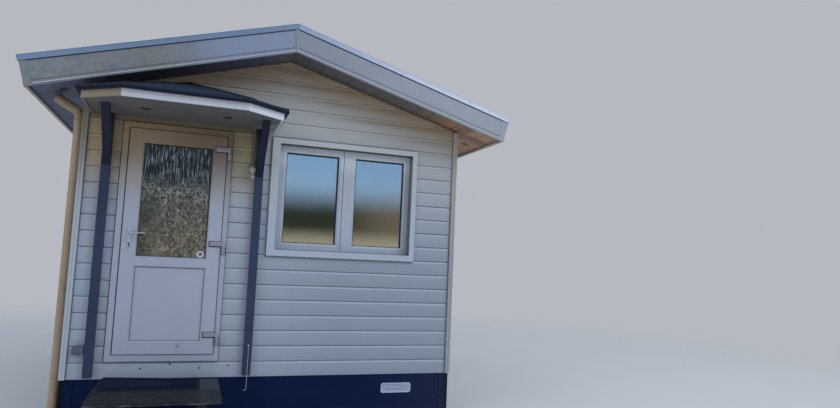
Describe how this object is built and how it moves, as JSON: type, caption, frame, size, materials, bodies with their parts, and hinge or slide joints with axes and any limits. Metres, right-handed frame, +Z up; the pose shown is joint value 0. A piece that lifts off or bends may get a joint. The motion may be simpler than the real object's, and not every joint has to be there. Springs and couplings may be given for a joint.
{
  "type": "garden office pod",
  "caption": "Small gable-fronted garden office pod: clad walls on a navy plinth, low roof with deep fascias, part-glazed door under a hipped canopy, wide two-sash window and door step.",
  "frame": {"origin": "on the ground, at the middle of the whole footprint, from the front of the door step to the rear roof edge", "axes": "+Z up; the front with the door and window faces -Y; +X to the right when looking at the front"},
  "size_m": [4.4692, 6.139, 3.7448],
  "materials": {
    "plinth_paint": "satin",
    "floor_deck": "satin",
    "cladding": "satin",
    "white_trim": "satin",
    "roof_panel": "matte",
    "roof_felt": "matte",
    "roof_trim": "satin",
    "soffit_panel": "matte",
    "fascia_board": "satin",
    "spotlight": "matte",
    "white_plastic": "satin",
    "clear_glass": "gloss",
    "hinge_grey": "satin",
    "obscured_glass": "gloss",
    "satin_metal": "satin",
    "zinc_wire": "satin",
    "canopy_soffit": "satin",
    "canopy_white": "satin",
    "canopy_felt": "matte",
    "navy_post": "satin",
    "navy_brace": "satin",
    "sensor_grey": "matte",
    "conduit_grey": "matte",
    "socket_grey": "matte",
    "vent_white": "satin",
    "downpipe_cream": "satin",
    "step_timber": "matte",
    "mat_rubber": "matte"
  },
  "bodies": {
    "cabin": {"plinth_walls": "plinth_paint", "floor": "floor_deck", "front_wall_left": "cladding", "front_wall_over_door": "cladding", "front_wall_right": "cladding", "back_wall": "cladding", "left_wall": "cladding", "right_wall": "cladding", "corner_trims": "white_trim", "roof_left": "roof_panel", "roof_right": "roof_panel", "roof_felt": "roof_felt", "roof_trims": "roof_trim", "soffits": "soffit_panel", "bargeboards": "fascia_board", "eaves_fascias": "fascia_board", "eaves_spotlights": "spotlight", "window_trim": "white_trim", "window_frame": "white_plastic", "window_sashes": "white_plastic", "window_glass": "clear_glass", "door_frame": "white_plastic", "frame_hinges": "hinge_grey", "canopy_soffit": "canopy_soffit", "canopy_fascia": "canopy_white", "canopy_roof": "canopy_felt", "canopy_spotlights": "spotlight", "canopy_posts": "navy_post", "canopy_braces": "navy_brace", "motion_sensor": "sensor_grey", "sensor_conduit": "conduit_grey", "socket_box": "socket_grey", "plinth_vents": "vent_white", "downpipes": "downpipe_cream", "door_step": "step_timber", "step_bearers": "step_timber", "step_legs": "step_timber", "door_mat": "mat_rubber", "post_eye": "zinc_wire"},
    "door": {"door_leaf": "white_plastic", "door_panel": "white_plastic", "door_glass": "obscured_glass", "door_hinges": "hinge_grey", "handle_plate": "satin_metal", "door_eye": "zinc_wire"},
    "lever": {"door_handle": "satin_metal"},
    "hook": {"cabin_hook": "zinc_wire"}
  },
  "joints": [
    {"name": "door_swing", "type": "hinge", "parent": "cabin", "child": "door", "pos_m": [-0.52, -2.1845, 1.6], "axis": [0, 0, 1], "range_deg": [0, 105]},
    {"name": "lever_turn", "type": "hinge", "parent": "door", "child": "lever", "pos_m": [-1.318, -2.1755, 1.73], "axis": [0, 1, 0], "range_deg": [0, 40], "stiffness_Nm_per_rad": 1.2, "springref_deg": -20.05},
    {"name": "hook_swing", "type": "hinge", "parent": "cabin", "child": "hook", "pos_m": [-0.232, -2.2185, 0.745], "axis": [-1, 0, 0], "range_deg": [0, 90]}
  ]
}
